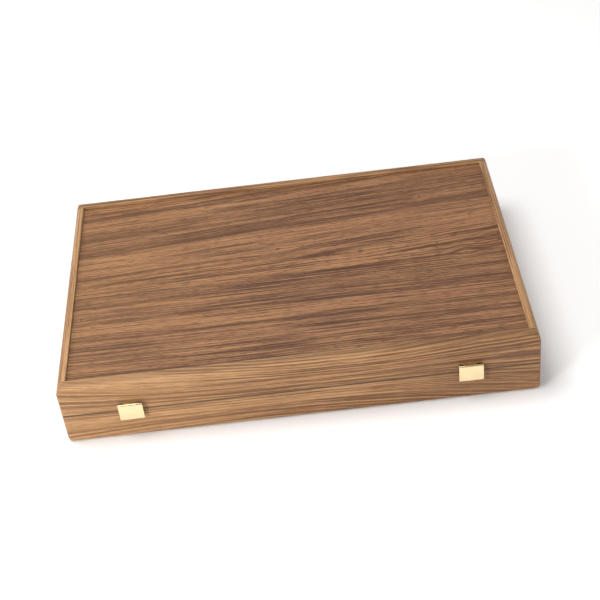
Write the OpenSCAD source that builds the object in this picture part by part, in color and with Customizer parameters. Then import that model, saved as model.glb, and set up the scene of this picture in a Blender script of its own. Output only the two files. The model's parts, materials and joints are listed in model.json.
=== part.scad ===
// Folding backgammon case with its playing pieces.
// X runs along the case, Y from the front (latches) to the back (hinges), Z up.
// The origin is on the surface that the case stands on, in the middle of its bounding box.
// Both halves are made rim upwards, and the lid's parts are then mirrored over the split line.

/* [Case] */
// Length of the case, along X
case_w = 480; // [410:1:580]
// Depth of the case, along Y, without latches and hinges
case_d = 320; // [266:1:390]
// Height of each half, from its outer face to the split line
half_h = 36; // [30:0.5:46]
// Gap between the two rims when the case is shut
rim_gap = 0.3; // [0.2:0.05:0.8]

/* [Frame rails] */
// Thickness of the side rails
side_rail_t = 9.5; // [7:0.5:14]
// Thickness of the front rails, which carry the latches
front_rail_t = 13; // [9:0.5:18]
// Thickness of the back rails, which carry the hinges
back_rail_t = 10.5; // [10:0.5:18]
// Radius of the outer edges along the sides
edge_r = 8; // [2:0.5:10]
// Radius of the outer edges along the front and back
long_edge_r = 4; // [1.5:0.5:8]
// Radius of the upright corners, seen from above
corner_r = 2.5; // [0.5:0.5:5]
// Radius that eases the outer edge of each rim
rim_r = 0.8; // [0.3:0.1:1.5]

/* [Panels] */
// How far each outer panel lies below the outer face of its rails
panel_recess = 3; // [1.5:0.5:5]
// Thickness of the outer panels
panel_t = 3.2; // [2.5:0.1:5]
// How deep the panels reach into the grooves of the rails
tongue = 3; // [2:0.5:4]
// Free space round a panel in its groove
groove_play = 0.25; // [0.1:0.05:0.6]

/* [Playing field] */
// Thickness of the playing field that lies on each panel
field_t = 2.4; // [1.5:0.1:4]
// Thickness of the inlaid points
inlay_t = 0.8; // [0.5:0.1:1.2]
// Strip between the tips of facing points
middle_gap = 61; // [20:1:90]
// Plain border between the side rails and the points
field_border = 3; // [1:0.5:8]
// Space between the bases of neighbouring points
point_space = 3; // [1:0.5:10]
// Free space round an inlay or a glued board
glue_play = 0.05; // [0.02:0.01:0.1]
// Thickness of the divider between field and rack
divider_t = 5; // [3:0.5:8]
// How far the divider ends below the rim
divider_drop = 1; // [0.5:0.5:4]

/* [Playing pieces] */
// Diameter of a chequer
chequer_d = 36; // [28:0.5:43]
// Thickness of a chequer
chequer_t = 9; // [6:0.5:11]
// Free space between a chequer and each wall of the rack
rack_play = 3; // [1:0.5:6]
// Space between neighbouring chequers
chequer_space = 0.2; // [0.1:0.1:0.4]
// Edge length of a die
die_s = 13; // [8:0.5:16]
// Edge length of the doubling cube
cube_s = 24; // [16:0.5:30]

/* [Hinges] */
// Length of each hinge
hinge_l = 38; // [25:1:60]
// Distance from the ends of the case to the middle of the outer hinges
hinge_inset = 80; // [50:1:120]
// How far a leaf reaches in from the back face
leaf_reach = 8.8; // [8:0.1:10]
// Thickness of a leaf
leaf_t = 1.1; // [0.8:0.1:1.6]
// Outer radius of the knuckles
knuckle_r = 2.4; // [2:0.1:3.2]
// Distance of the hinge axis behind the back face
hinge_out = 0.5; // [0.3:0.1:2]
// Radius of the hinge pin
hinge_pin_r = 1; // [0.6:0.1:1.4]
// Distance between the two screws of a leaf
hinge_screw_spread = 22; // [14:1:40]

/* [Latches] */
// Distance from the ends of the case to the middle of the latches
latch_inset = 70; // [40:1:110]
// Width of a latch cover
latch_w = 24.5; // [22:0.5:32]
// How far the latches stand out from the front face
latch_out = 4.5; // [4:0.1:6]
// Height of the latch pin above the split line
latch_rise = 8.5; // [7:0.5:12]
// How far a latch cover reaches below the split line
latch_drop = 9; // [8:0.5:14]
// Thickness of the latch sheet brass
sheet_t = 0.6; // [0.5:0.1:0.8]
// Outer radius of the rolled top of a latch cover
roll_r = 1.75; // [1.7:0.05:2]
// Radius of the latch pin
latch_pin_r = 0.5; // [0.4:0.05:0.6]
// Length of the barrel of a latch bracket
barrel_l = 12; // [8:1:13]
// Distance between the two nails of a latch plate
nail_spread = 16.8; // [16:0.1:22]
// Distance of the latch nails from the split line
nail_drop = 3.4; // [3:0.1:4]

/* [Hidden] */
$fn = 64;

// Faces of the case: the hinges and latches stand out from it by different amounts
hinge_proud = hinge_out + knuckle_r;
front_y = (latch_out - hinge_proud - case_d) / 2;
back_y = front_y + case_d;
mid_y = (front_y + back_y) / 2;

// Each half is made between z = 0, its outer face, and its rim
rim_z = half_h - rim_gap / 2;
side_edge = min(edge_r, side_rail_t - 1.5);
long_edge = min(long_edge_r, front_rail_t - 1.5, back_rail_t - 1.5);

// Inside of the frame
inner_w = case_w - 2 * side_rail_t;
inner_front = front_y + front_rail_t;
inner_back = back_y - back_rail_t;
field_z = panel_recess + panel_t;
floor_z = field_z + field_t;

// Rack for the chequers along the front, the field behind it
rack_w = chequer_d + 2 * rack_play;
rack_mid = inner_front + rack_w / 2;
field_front = inner_front + rack_w + divider_t;
columns = 6;
column_pitch = (inner_back - field_front) / columns;
point_w = column_pitch - point_space;
point_l = (inner_w - middle_gap) / 2 - field_border;
divider_top = rim_z - divider_drop;

// Chequers stand on edge from the left end of the rack, dice and cube from the right end
per_side = 15;
stack_pitch = chequer_t + chequer_space;
stack_end_space = 2;
stack_start = -inner_w / 2 + stack_end_space;
piece_space = 3;
piece_play = 0.05;

// Turned shape of a chequer: a shallow dish inside a flat rim, with eased outer edges
dish_t = 0.6;
dish_share = 0.58;
flat_share = 0.68;
chequer_ease = 1;

// Half the diagonal that is left of a die or cube when its corners are rounded, as a share of its edge
corner_share = 0.72;

// Hinges
hinge_x = [-case_w / 2 + hinge_inset, 0, case_w / 2 - hinge_inset];
hinge_y = back_y + hinge_out;
knuckles = 5;
knuckle_l = hinge_l / knuckles;
knuckle_play = 0.3;
pin_fit = 0.03;
pin_play = 0.06;
leaf_edge = hinge_y - knuckle_r - knuckle_play;
screw_y = (back_y - leaf_reach + leaf_edge) / 2;
screw_r = 1;
screw_head_r = 1.9;
screw_head_t = 0.9;
screw_l = 12;

// Latches
latch_x = [-case_w / 2 + latch_inset, case_w / 2 - latch_inset];
latch_y = front_y - latch_out + roll_r;
latch_z = half_h + latch_rise;
plate_w = latch_w - 2 * sheet_t - 1.4;
barrel_r = 0.95;
cover_bottom = -latch_rise - latch_drop;
nail_r = 0.5;
nail_head_r = 1.1;
nail_head_t = 0.5;
nail_l = 7;

// Bracket: its plate starts above the split line, and a sloping web carries the barrel
bracket_rise = 0.8;
plate_top_z = latch_z + roll_r - 0.4;
web_low = 3.2;
web_high = 2.1;
web_front = [-0.4, -0.7];
web_back = [0.75, -0.35];

// Cover: side walls that end just off the front face, and a lip that snaps under the catch ridge
wall_gap = 0.5;
wall_start = 2.5;
lip_l = 1.1;

// Catch: a plate under the cover with a half-round ridge just above the lip
ridge_r = 1.4;
ridge_space = 0.4;
catch_inset = 1;
catch_low_space = 0.2;
catch_drop = 0.9;
catch_ridge_drop = latch_drop - sheet_t - ridge_r - ridge_space;

wood = [0.55, 0.39, 0.26];
pale_wood = [0.72, 0.56, 0.39];
dark_wood = [0.26, 0.16, 0.10];
brass = [0.80, 0.70, 0.45];

// ---- helpers -------------------------------------------------------------------------

// Turns a part made for the base into its mirror image on the lid
module on_lid() {
    translate([0, 0, 2 * half_h]) mirror([0, 0, 1]) children();
}

// Box between two opposite corners
module span_box(low, high) {
    translate(low) cube(high - low);
}

// Section of a half: two outer corners of radius r, two slightly eased rim corners
module half_outline(span, r) {
    for (side = [-1, 1]) {
        translate([side * (span / 2 - r), r]) circle(r);
        translate([side * (span / 2 - rim_r), rim_z - rim_r]) circle(rim_r);
    }
    translate([r - span / 2, 0]) square([span - 2 * r, rim_z]);
    translate([-span / 2, r]) square([span, rim_z - r - rim_r]);
    translate([rim_r - span / 2, r]) square([span - 2 * rim_r, rim_z - r]);
}

// Plan of the case with its four upright corners
module plan_outline() {
    for (x = [-1, 1], y = [-1, 1])
        translate([x * (case_w / 2 - corner_r), y * (case_d / 2 - corner_r)]) circle(corner_r);
    square([case_w - 2 * corner_r, case_d], center = true);
    square([case_w, case_d - 2 * corner_r], center = true);
}

// Outer shape of one half as a solid block
module half_block() {
    intersection() {
        translate([0, back_y, 0]) rotate([90, 0, 0])
            linear_extrude(case_d) half_outline(case_w, side_edge);
        translate([-case_w / 2, mid_y, 0]) rotate([90, 0, 90])
            linear_extrude(case_w) half_outline(case_d, long_edge);
        translate([0, mid_y, 0]) linear_extrude(half_h) plan_outline();
    }
}

// Groove that holds the outer panel, with its play at the edges only
module panel_groove() {
    reach = tongue + groove_play;
    span_box([-inner_w / 2 - reach, inner_front - reach, panel_recess],
             [inner_w / 2 + reach, inner_back + reach, field_z]);
}

// ---- frame rails ---------------------------------------------------------------------

// Front rail across the whole case, with holes for the latch nails
module front_rail() {
    difference() {
        intersection() {
            half_block();
            span_box([-case_w, front_y - 1, -1], [case_w, inner_front, half_h + 1]);
        }
        panel_groove();
        for (x = latch_x, side = [-1, 1])
            translate([x + side * nail_spread / 2, front_y - 1, half_h - nail_drop])
                rotate([-90, 0, 0]) cylinder(r = nail_r + pin_fit, h = nail_l + 1);
    }
}

// Back rail across the whole case, with mortises, barrel recesses and screw holes
module back_rail() {
    difference() {
        intersection() {
            half_block();
            span_box([-case_w, inner_back, -1], [case_w, back_y + 1, half_h + 1]);
        }
        panel_groove();
        for (x = hinge_x) {
            mortise_w = hinge_l / 2 + groove_play;
            span_box([x - mortise_w, back_y - leaf_reach - groove_play, rim_z - leaf_t],
                     [x + mortise_w, back_y + 1, half_h + 1]);
            translate([x - mortise_w, hinge_y, half_h])
                rotate([0, 90, 0]) cylinder(r = knuckle_r + knuckle_play, h = 2 * mortise_w);
            for (side = [-1, 1])
                translate([x + side * hinge_screw_spread / 2, screw_y, rim_z - screw_l - 1])
                    cylinder(r = screw_r + pin_fit, h = screw_l + 1);
        }
    }
}

// Side rail between the front and back rails; side is -1 for left and 1 for right
module side_rail(side) {
    low_x = side < 0 ? -case_w / 2 - 1 : inner_w / 2;
    difference() {
        intersection() {
            half_block();
            span_box([low_x, inner_front, -1], [low_x + side_rail_t + 1, inner_back, half_h + 1]);
        }
        panel_groove();
    }
}

// ---- panels, field, points, divider --------------------------------------------------

// Outer panel, held in the grooves of the rails
module panel() {
    span_box([-inner_w / 2 - tongue, inner_front - tongue, panel_recess],
             [inner_w / 2 + tongue, inner_back + tongue, field_z]);
}

// One point, as a triangle with its base on the y axis
module point_shape(play) {
    polygon([[play, play - point_w / 2], [point_l - 4 * play, 0], [play, point_w / 2 - play]]);
}

// Every second point of one colour, on both ends of the field; parity is 0 or 1
module points(parity, play) {
    for (column = [0 : columns - 1], end = [-1, 1])
        if ((column + (end < 0 ? 0 : 1)) % 2 == parity)
            translate([end * (inner_w / 2 - field_border), field_front + (column + 0.5) * column_pitch,
                       floor_z - inlay_t])
                mirror([end > 0 ? 1 : 0, 0, 0]) linear_extrude(inlay_t) point_shape(play);
}

// Board on the inside of the panel, with a pocket for every point
module field() {
    difference() {
        span_box([glue_play - inner_w / 2, inner_front + glue_play, field_z],
                 [inner_w / 2 - glue_play, inner_back - glue_play, floor_z]);
        for (parity = [0, 1]) points(parity, 0);
    }
}

// Low wall between the playing field and the rack
module rack_divider() {
    span_box([glue_play - inner_w / 2, field_front - divider_t, floor_z],
             [inner_w / 2 - glue_play, field_front, divider_top]);
}

// ---- hinges --------------------------------------------------------------------------

// Screw hole or screw of a leaf: shank and countersunk head, pointing down from the rim
module screw_shape(play) {
    translate([0, 0, -screw_l]) cylinder(r = screw_r + play, h = screw_l);
    translate([0, 0, -screw_head_t])
        cylinder(r1 = screw_r + play, r2 = screw_head_r + play, h = screw_head_t);
}

// One leaf with its knuckles; the leaf with the even ones has both end knuckles
module hinge_leaf(x, even) {
    first = even ? 0 : 1;
    play = even ? pin_fit : pin_play;
    translate([x - hinge_l / 2, 0, 0]) difference() {
        union() {
            span_box([0, back_y - leaf_reach, rim_z - leaf_t], [hinge_l, leaf_edge, rim_z]);
            for (k = [first : 2 : knuckles - 1]) {
                start = k * knuckle_l + (k > 0 ? knuckle_play / 2 : 0);
                stop = (k + 1) * knuckle_l - (k < knuckles - 1 ? knuckle_play / 2 : 0);
                span_box([start, leaf_edge - 1, rim_z - leaf_t], [stop, hinge_y, rim_z]);
                translate([start, hinge_y, half_h])
                    rotate([0, 90, 0]) cylinder(r = knuckle_r, h = stop - start);
            }
        }
        translate([-1, hinge_y, half_h])
            rotate([0, 90, 0]) cylinder(r = hinge_pin_r + play, h = hinge_l + 2);
        for (side = [-1, 1])
            translate([hinge_l / 2 + side * hinge_screw_spread / 2, screw_y, rim_z]) {
                screw_shape(pin_fit);
                cylinder(r = screw_head_r + pin_fit, h = 1);
            }
    }
}

// Pin through all knuckles of one hinge
module hinge_pin(x) {
    translate([x - hinge_l / 2, hinge_y, half_h]) rotate([0, 90, 0]) cylinder(r = hinge_pin_r, h = hinge_l);
}

// Countersunk screws of the three leaves on one half
module hinge_screws() {
    for (x = hinge_x, side = [-1, 1])
        translate([x + side * hinge_screw_spread / 2, screw_y, rim_z - pin_fit]) screw_shape(0);
}

// ---- latches -------------------------------------------------------------------------

// Plate of a latch against the front face, from z = low to z = high
module latch_plate(width, low, high) {
    span_box([-width / 2, front_y - sheet_t, low], [width / 2, front_y, high]);
}

// Nail holes through a latch plate on the half at z = height
module nail_holes(height) {
    for (side = [-1, 1])
        translate([side * nail_spread / 2, front_y - sheet_t - 1, height])
            rotate([-90, 0, 0]) cylinder(r = nail_r + pin_fit, h = sheet_t + 2);
}

// Bracket on the lid: a plate that ends in a short barrel for the latch pin
module latch_bracket(x) {
    plate_mid = front_y - sheet_t / 2 - latch_y;
    translate([x, 0, 0]) difference() {
        union() {
            latch_plate(plate_w, half_h + bracket_rise, plate_top_z);
            translate([-barrel_l / 2, latch_y, latch_z])
                rotate([0, 90, 0]) cylinder(r = barrel_r, h = barrel_l);
            translate([-barrel_l / 2, latch_y, latch_z]) rotate([90, 0, 90]) linear_extrude(barrel_l)
                polygon([[plate_mid, -web_low], web_front, web_back, [plate_mid, -web_high]]);
        }
        translate([-barrel_l, latch_y, latch_z]) rotate([0, 90, 0])
            cylinder(r = latch_pin_r + pin_fit, h = 2 * barrel_l);
        nail_holes(half_h + nail_drop);
    }
}

// Points of a quarter or half turn round the latch pin, from the front over the top
function roll_points(r, turn) = [for (a = [0 : 9 : turn]) r * [-cos(a), sin(a)]];

// Side view of a latch cover, with the pin at the origin: round at the pin, straight below it
module cover_outline() {
    wall_back = front_y - wall_gap - latch_y;
    polygon(concat(roll_points(roll_r, 180),
                   [[wall_back, -wall_start], [wall_back, cover_bottom], [-roll_r, cover_bottom]]));
}

// Side view of the space inside a cover, which is open at the back and behind the lip
module cover_inside() {
    inner_r = roll_r - sheet_t;
    lip_end = lip_l - inner_r;
    lip_top = cover_bottom + sheet_t;
    polygon(concat(roll_points(inner_r, 90),
                   [[0, 2 * roll_r], [latch_out, 2 * roll_r], [latch_out, cover_bottom - 1],
                    [lip_end, cover_bottom - 1], [lip_end, lip_top], [-inner_r, lip_top]]));
}

// Cover: rolled top, front plate, two side walls that turn on the pin, and the lip at the bottom
module latch_cover(x) {
    space_w = latch_w - 2 * sheet_t;
    translate([x, latch_y, latch_z]) rotate([90, 0, 90]) difference() {
        translate([0, 0, -latch_w / 2]) linear_extrude(latch_w) cover_outline();
        translate([0, 0, -space_w / 2]) linear_extrude(space_w) cover_inside();
        translate([0, 0, -latch_w]) cylinder(r = latch_pin_r + pin_play, h = 2 * latch_w);
    }
}

// Pin of a latch, flush with the side walls of the cover
module latch_pin(x) {
    translate([x - latch_w / 2, latch_y, latch_z]) rotate([0, 90, 0]) cylinder(r = latch_pin_r, h = latch_w);
}

// Catch on the base: a plate with the half-round ridge that the lip of the cover snaps under
module latch_catch(x) {
    ridge_z = half_h - catch_ridge_drop;
    catch_w = plate_w - 2 * catch_inset;
    translate([x, 0, 0]) difference() {
        union() {
            latch_plate(catch_w, half_h - latch_drop + sheet_t + catch_low_space, half_h - catch_drop);
            intersection() {
                translate([-catch_w / 2, front_y - sheet_t, ridge_z])
                    rotate([0, 90, 0]) cylinder(r = ridge_r, h = catch_w);
                span_box([-latch_w, front_y - latch_out, 0], [latch_w, front_y - sheet_t / 2, half_h]);
            }
        }
        nail_holes(half_h - nail_drop);
    }
}

// Round-headed nails of the two latches, for the plates on one half
module latch_nails(height) {
    for (x = latch_x, side = [-1, 1])
        translate([x + side * nail_spread / 2, front_y - sheet_t, height]) {
            translate([0, -nail_head_t, 0]) rotate([-90, 0, 0]) cylinder(r = nail_head_r, h = nail_head_t);
            rotate([-90, 0, 0]) cylinder(r = nail_r, h = nail_l - 1);
        }
}

// ---- playing pieces ------------------------------------------------------------------

// A turned chequer on its axis, with eased rims and a shallow dish on both faces
module chequer() {
    half = chequer_t / 2;
    r = chequer_d / 2;
    rotate([0, 90, 0]) rotate_extrude()
        polygon([[0, dish_t - half], [dish_share * r, dish_t - half], [flat_share * r, -half],
                 [r - chequer_ease, -half], [r, chequer_ease - half],
                 [r, half - chequer_ease], [r - chequer_ease, half],
                 [flat_share * r, half], [dish_share * r, half - dish_t], [0, half - dish_t]]);
}

// Fifteen chequers on edge in the rack, from position first onwards
module chequer_row(first) {
    for (i = [first : first + per_side - 1])
        translate([stack_start + (i + 0.5) * stack_pitch, rack_mid, floor_z + chequer_d / 2 + piece_play])
            chequer();
}

// Cube with rounded corners, standing on z = 0
module rounded_cube(size) {
    translate([0, 0, size / 2]) intersection() {
        cube(size, center = true);
        sphere(r = size * corner_share);
    }
}

// Two dice in the rack, the first at x = place
module dice_pair(place) {
    for (i = [0, 1])
        translate([place - i * (die_s + piece_space), rack_mid, floor_z + piece_play]) rounded_cube(die_s);
}

cube_x = inner_w / 2 - piece_space - cube_s / 2;
light_dice_x = cube_x - cube_s / 2 - piece_space - die_s / 2;
dark_dice_x = light_dice_x - 2 * (die_s + piece_space);

// ---- nodes ---------------------------------------------------------------------------

color(wood) front_rail();  // base_front_rail
color(wood) back_rail();  // base_back_rail
color(wood) side_rail(-1);  // base_left_rail
color(wood) side_rail(1);  // base_right_rail
color(wood) panel();  // base_panel
color(wood) field();  // base_field
color(pale_wood) points(0, glue_play);  // base_light_points
color(dark_wood) points(1, glue_play);  // base_dark_points
color(wood) rack_divider();  // base_rack_divider

color(wood) on_lid() front_rail();  // lid_front_rail
color(wood) on_lid() back_rail();  // lid_back_rail
color(wood) on_lid() side_rail(-1);  // lid_left_rail
color(wood) on_lid() side_rail(1);  // lid_right_rail
color(wood) on_lid() panel();  // lid_panel
color(wood) on_lid() field();  // lid_field
color(pale_wood) on_lid() points(0, glue_play);  // lid_light_points
color(dark_wood) on_lid() points(1, glue_play);  // lid_dark_points
color(wood) on_lid() rack_divider();  // lid_rack_divider

color(brass) hinge_leaf(hinge_x[0], true);  // left_hinge_lower_leaf
color(brass) on_lid() hinge_leaf(hinge_x[0], false);  // left_hinge_upper_leaf
color(brass) hinge_pin(hinge_x[0]);  // left_hinge_pin
color(brass) hinge_leaf(hinge_x[1], true);  // middle_hinge_lower_leaf
color(brass) on_lid() hinge_leaf(hinge_x[1], false);  // middle_hinge_upper_leaf
color(brass) hinge_pin(hinge_x[1]);  // middle_hinge_pin
color(brass) hinge_leaf(hinge_x[2], true);  // right_hinge_lower_leaf
color(brass) on_lid() hinge_leaf(hinge_x[2], false);  // right_hinge_upper_leaf
color(brass) hinge_pin(hinge_x[2]);  // right_hinge_pin
color(brass) hinge_screws();  // base_hinge_screws
color(brass) on_lid() hinge_screws();  // lid_hinge_screws

color(brass) latch_bracket(latch_x[0]);  // left_latch_bracket
color(brass) latch_cover(latch_x[0]);  // left_latch_cover
color(brass) latch_pin(latch_x[0]);  // left_latch_pin
color(brass) latch_catch(latch_x[0]);  // left_latch_catch
color(brass) latch_bracket(latch_x[1]);  // right_latch_bracket
color(brass) latch_cover(latch_x[1]);  // right_latch_cover
color(brass) latch_pin(latch_x[1]);  // right_latch_pin
color(brass) latch_catch(latch_x[1]);  // right_latch_catch
color(brass) latch_nails(half_h - nail_drop);  // base_latch_nails
color(brass) latch_nails(half_h + nail_drop);  // lid_latch_nails

color(pale_wood) chequer_row(0);  // light_chequers
color(dark_wood) chequer_row(per_side);  // dark_chequers
color("ivory") dice_pair(light_dice_x);  // light_dice
color("saddlebrown") dice_pair(dark_dice_x);  // dark_dice
color("ivory") translate([cube_x, rack_mid, floor_z + piece_play]) rounded_cube(cube_s);  // doubling_cube
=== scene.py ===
# %% [markdown]
# # A folding walnut backgammon case
# The case is two shallow trays that close on each other, hinged at the back and held by two small
# brass latches at the front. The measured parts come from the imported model, in metres. This script
# gives them their finish, eases their edges, and makes the small turned and drilled pieces anew.

# %% Load the measured parts
import json
import math

import bmesh
import bpy
from mathutils import Matrix, Vector


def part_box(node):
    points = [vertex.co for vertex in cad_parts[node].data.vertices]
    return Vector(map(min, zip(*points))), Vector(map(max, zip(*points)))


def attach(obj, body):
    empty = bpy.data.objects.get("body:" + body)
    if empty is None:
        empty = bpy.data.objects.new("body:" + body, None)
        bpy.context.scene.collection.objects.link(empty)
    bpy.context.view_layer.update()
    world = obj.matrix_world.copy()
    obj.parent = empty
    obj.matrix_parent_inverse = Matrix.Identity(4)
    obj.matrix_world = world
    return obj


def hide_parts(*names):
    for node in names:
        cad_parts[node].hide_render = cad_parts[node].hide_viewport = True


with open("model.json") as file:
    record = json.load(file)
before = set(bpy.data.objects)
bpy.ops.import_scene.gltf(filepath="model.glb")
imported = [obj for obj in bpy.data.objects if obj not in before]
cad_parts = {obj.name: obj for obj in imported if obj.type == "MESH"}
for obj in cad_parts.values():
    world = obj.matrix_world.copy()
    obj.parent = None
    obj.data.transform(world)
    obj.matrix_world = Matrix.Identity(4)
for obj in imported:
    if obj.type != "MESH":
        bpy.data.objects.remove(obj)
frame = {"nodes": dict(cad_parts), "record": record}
nodes = frame["nodes"]
body_of = {name: body for body, names in frame["record"]["behaviour"]["bodies"].items() for name in names}
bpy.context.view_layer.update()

# %% [markdown]
# ## The places that everything is built from
# A maker marks the case out from its outside faces. Here the same few distances are read from the
# boxes of the rails, so the grain, the camera and the small parts follow if the case changes size.

# %% Mark out the case
MM = 0.001
front_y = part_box("base_front_rail")[0].y
back_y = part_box("base_back_rail")[1].y
half_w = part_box("lid_right_rail")[1].x
split_z = (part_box("base_front_rail")[1].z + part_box("lid_front_rail")[0].z) / 2
top_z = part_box("lid_front_rail")[1].z
case_mid = Vector((0, (front_y + back_y) / 2, 0))
print("case", round(2 * half_w, 4), "x", round(back_y - front_y, 4), "x", round(top_z, 4), "m")

# %% [markdown]
# ## Camera
# The case is seen from above its front edge with a long lens, so its sides hardly converge. The
# camera is placed by its direction, its distance and a slight roll, which is easier to reason about
# than three rotation angles, and its three axes are then written straight into its matrix.

# %% Place the camera
azimuth = math.radians(0.91)
elevation = math.radians(39.34)
roll = math.radians(-7.14)
distance = 1.440
aim_shift = Vector((7.8, -12.0, 30.0)) * MM
sensor_mm = 36
lens_mm = 79.68
aim = case_mid + aim_shift
away = Vector((
    math.sin(azimuth) * math.cos(elevation),
    -math.cos(azimuth) * math.cos(elevation),
    math.sin(elevation),
))
side = Vector((0, 0, 1)).cross(away).normalized()
upward = away.cross(side)
right = side * math.cos(roll) + upward * math.sin(roll)
up = upward * math.cos(roll) - side * math.sin(roll)
place = aim + away * distance
camera = bpy.data.objects.new("camera", bpy.data.cameras.new("camera"))
bpy.context.scene.collection.objects.link(camera)
camera.matrix_world = Matrix((
    (right.x, up.x, away.x, place.x),
    (right.y, up.y, away.y, place.y),
    (right.z, up.z, away.z, place.z),
    (0, 0, 0, 1),
))
camera.data.sensor_width = sensor_mm
camera.data.lens = lens_mm
bpy.context.scene.camera = camera
print("camera at", [round(v, 3) for v in place])

# %% [markdown]
# ## Light and floor
# The set stands on white in a bright studio with a darker ceiling. A broad lamp overhead lights the
# panel, a smaller one low on the left throws the shadows beside the latches, and a weak one on the
# right lifts the shadow behind the case. The plain colour transform keeps the floor white.


# %% Helpers for materials
def paint(red, green, blue):
    """A colour given as 0 to 255 steps, turned into the linear light that shaders work with."""
    steps = []
    for value in (red, green, blue):
        share = value / 255
        steps.append(share / 12.92 if share < 0.04045 else ((share + 0.055) / 1.055) ** 2.4)
    return (*steps, 1)


def new_material(name):
    """A material with its node tree and its Principled shader."""
    material = bpy.data.materials.new(name)
    material.use_nodes = True
    return material, material.node_tree, material.node_tree.nodes["Principled BSDF"]


# %% Floor, world and lamps
bpy.context.scene.view_settings.view_transform = "Standard"
world = bpy.data.worlds.new("white_tent")
world.use_nodes = True
bpy.context.scene.world = world

FLOOR_REACH = 20
FLOOR_WHITE = (0.93, 0.93, 0.93, 1)
floor_mesh = bpy.data.meshes.new("floor")
floor_corners = [(FLOOR_REACH * u, FLOOR_REACH * v, 0) for u, v in ((-1, -1), (1, -1), (1, 1), (-1, 1))]
floor_mesh.from_pydata(floor_corners, [], [(0, 1, 2, 3)])
floor = bpy.data.objects.new("floor", floor_mesh)
bpy.context.scene.collection.objects.link(floor)
floor_paint, floor_tree, floor_shader = new_material("white_floor")
floor_shader.inputs["Base Color"].default_value = FLOOR_WHITE
floor_shader.inputs["Roughness"].default_value = 0.9
floor_mesh.materials.append(floor_paint)


def soft_lamp(name, where, width, watts, colour):
    """A square area lamp that points at the middle of the case."""
    lamp = bpy.data.lights.new(name, "AREA")
    lamp.size = width
    lamp.energy = watts
    lamp.color = colour
    holder = bpy.data.objects.new(name, lamp)
    holder.location = where
    holder.rotation_euler = (case_mid - Vector(where)).to_track_quat("-Z", "Y").to_euler()
    bpy.context.scene.collection.objects.link(holder)


soft_lamp("key_lamp", (-1.6, -1.5, 0.85), 0.6, 31, (1, 0.98, 0.96))
soft_lamp("top_lamp", (-0.7, 0.2, 2.2), 1.4, 41, (1, 0.99, 0.98))
soft_lamp("fill_lamp", (1.8, -0.6, 0.9), 1.2, 8, (1, 0.99, 0.98))
print("floor and three lamps are in place")

# %% [markdown]
# ## Small words for node trees
# A wood finish takes dozens of nodes. A few helpers with plain names keep the recipe readable: each
# one adds a node, plugs in numbers or other nodes' results, and hands back the result.


# %% Helpers for node trees
def feed(tree, socket, value):
    """Plugs in another node's result, or sets a plain value."""
    if isinstance(value, bpy.types.NodeSocket):
        tree.links.new(value, socket)
    else:
        socket.default_value = value


def calc(tree, operation, *values, clamp=False):
    """One arithmetic step."""
    node = tree.nodes.new("ShaderNodeMath")
    node.operation = operation
    node.use_clamp = clamp
    for socket, value in zip(node.inputs, values):
        feed(tree, socket, value)
    return node.outputs[0]


def plus(tree, first, second, clamp=False):
    """A sum."""
    return calc(tree, "ADD", first, second, clamp=clamp)


def minus(tree, first, second, clamp=False):
    """A difference."""
    return calc(tree, "SUBTRACT", first, second, clamp=clamp)


def times(tree, first, second, clamp=False):
    """A product."""
    return calc(tree, "MULTIPLY", first, second, clamp=clamp)


def fade(tree, value, start, end, low=0.0, high=1.0):
    """Goes softly from low to high while value goes from start to end."""
    node = tree.nodes.new("ShaderNodeMapRange")
    node.interpolation_type = "SMOOTHSTEP"
    names = ("Value", "From Min", "From Max", "To Min", "To Max")
    for name, number in zip(names, (value, start, end, low, high)):
        feed(tree, node.inputs[name], number)
    return node.outputs["Result"]


def blend(tree, amount, first, second):
    """Mixes two colours."""
    node = tree.nodes.new("ShaderNodeMix")
    node.data_type = "RGBA"
    node.clamp_result = True
    feed(tree, node.inputs[0], amount)
    feed(tree, node.inputs[6], first)
    feed(tree, node.inputs[7], second)
    return node.outputs[2]


def point(tree, x, y, z=0.0):
    """Puts three numbers together to a vector."""
    node = tree.nodes.new("ShaderNodeCombineXYZ")
    for socket, value in zip(node.inputs, (x, y, z)):
        feed(tree, socket, value)
    return node.outputs[0]


def cloud(tree, where, scale=1.0, detail=2.0, roughness=0.5):
    """Soft noise between 0 and 1, mostly near 0.5."""
    node = tree.nodes.new("ShaderNodeTexNoise")
    feed(tree, node.inputs["Vector"], where)
    feed(tree, node.inputs["Scale"], scale)
    feed(tree, node.inputs["Detail"], detail)
    feed(tree, node.inputs["Roughness"], roughness)
    return node.outputs["Fac"]


def ramp(tree, value, stops, how="LINEAR"):
    """A row of (place, colour) stops; a plain number stands for a grey."""
    node = tree.nodes.new("ShaderNodeValToRGB")
    node.color_ramp.interpolation = how
    elements = node.color_ramp.elements
    while len(elements) < len(stops):
        elements.new(0.5)
    for element, (stop, colour) in zip(elements, stops):
        element.position = stop
        element.color = (colour, colour, colour, 1) if isinstance(colour, (int, float)) else colour
    feed(tree, node.inputs["Fac"], value)
    return node.outputs["Color"]


def apart(tree, vector):
    """The three numbers of a vector."""
    node = tree.nodes.new("ShaderNodeSeparateXYZ")
    tree.links.new(vector, node.inputs[0])
    return node.outputs


def body_point(tree):
    """The point on the piece, in metres in the case's own frame."""
    return tree.nodes.new("ShaderNodeTexCoord").outputs["Object"]


def relief(tree, shader, height, depth):
    """A Bump node between a height and the shader's normal; depth is in metres."""
    node = tree.nodes.new("ShaderNodeBump")
    node.inputs["Strength"].default_value = 1.0
    node.inputs["Distance"].default_value = depth
    feed(tree, node.inputs["Height"], height)
    tree.links.new(node.outputs["Normal"], shader.inputs["Normal"])


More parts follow.
